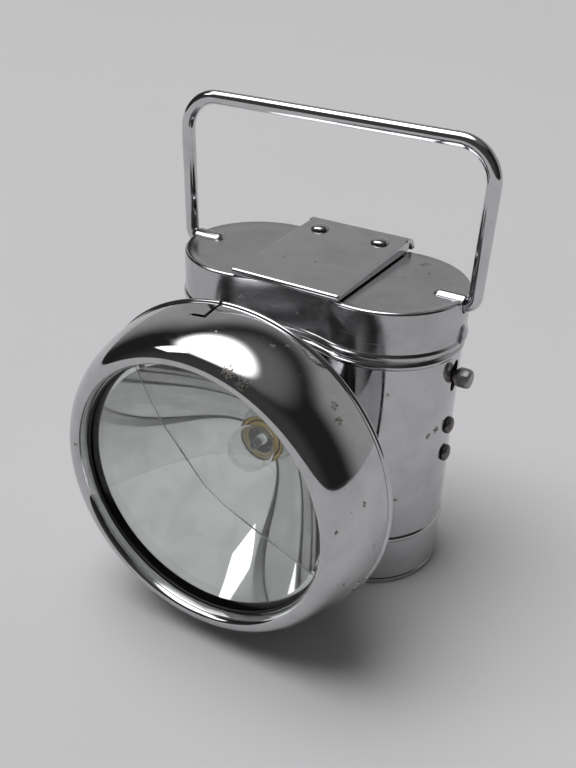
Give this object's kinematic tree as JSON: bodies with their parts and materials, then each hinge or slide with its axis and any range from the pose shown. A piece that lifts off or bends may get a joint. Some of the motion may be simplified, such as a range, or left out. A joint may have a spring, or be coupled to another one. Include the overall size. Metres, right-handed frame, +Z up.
{
  "type": "hand lamp",
  "caption": "Plated two-cell hand lamp: lobed case, hinged lid with wire bail, large round lamp head with glass and reflector, slide switch.",
  "frame": {"origin": "on the surface the lamp stands on, under the middle of the case", "axes": "+X along the case towards the end with the switch, -Y where the lamp head looks, +Z up"},
  "size_m": [0.0804, 0.0783, 0.1107],
  "materials": {
    "case_chrome": "polished plating, pitted and hazy with age",
    "lid_chrome": "dulled plating with stains",
    "wire_chrome": "polished plating",
    "bezel_chrome": "mirror plating with brown pitting",
    "plated_steel": "dull plating",
    "dull_steel": "worn, lightly rusted",
    "dark_rivet": "tarnished",
    "black_rubber": "matt",
    "lens_glass": "clear",
    "bulb_glass": "clear",
    "silver": "silvered mirror",
    "brass": "plain",
    "fibre": "vulcanised fibre",
    "insulation": "matt",
    "cell_jacket": "plain printed-free card jacket"
  },
  "bodies": {
    "case": {"case_body": "case_chrome", "base_plate": "case_chrome", "hinge_leaf_lower": "plated_steel", "hinge_pin": "plated_steel", "leaf_rivet_left": "dark_rivet", "leaf_rivet_right": "dark_rivet", "reflector": "silver", "bulb_glass": "bulb_glass", "bulb_stem": "bulb_glass", "bulb_cap": "brass", "bulb_tip": "plated_steel", "bulb_holder": "brass", "holder_insulator": "fibre", "centre_contact": "brass", "head_shell": "case_chrome", "head_saddle": "plated_steel", "head_screw_upper": "plated_steel", "head_screw_lower": "plated_steel", "head_nut_upper": "plated_steel", "head_nut_lower": "plated_steel", "switch_strip": "fibre", "switch_leaf": "brass", "switch_rivet_upper": "dark_rivet", "switch_rivet_lower": "dark_rivet", "switch_lead": "insulation", "cell_left": "cell_jacket", "cell_right": "cell_jacket", "cell_cap_left": "brass", "cell_cap_right": "brass", "cell_link": "brass", "base_pad": "fibre"},
    "lid": {"lid_shell": "lid_chrome", "lid_strap": "lid_chrome", "strap_rivet_left": "lid_chrome", "strap_rivet_right": "lid_chrome", "hinge_leaf_upper": "plated_steel", "lid_pad": "fibre", "lid_contact": "brass"},
    "bail": {"bail_handle": "wire_chrome"},
    "bezel": {"bezel_ring": "bezel_chrome", "lens_gasket": "black_rubber", "lens_glass": "lens_glass"},
    "switch": {"switch_knob": "dull_steel", "switch_slider": "fibre"}
  },
  "joints": [
    {"name": "lid_hinge", "type": "hinge", "parent": "case", "child": "lid", "pos_m": [0, 0.0213, 0.0616], "axis": [-1, 0, 0], "range_deg": [0, 110]},
    {"name": "bail_swing", "type": "hinge", "parent": "lid", "child": "bail", "pos_m": [0, 0, 0.0733], "axis": [1, 0, 0], "range_deg": [-90, 80]},
    {"name": "bezel_twist", "type": "hinge", "parent": "case", "child": "bezel", "pos_m": [0, -0.03815, 0.0395], "axis": [0, -1, 0], "range_deg": [0, 5]},
    {"name": "switch_slide", "type": "slide", "parent": "case", "child": "switch", "axis": [0, 0, 1], "range_m": [-0.0025, 0.0025]}
  ]
}
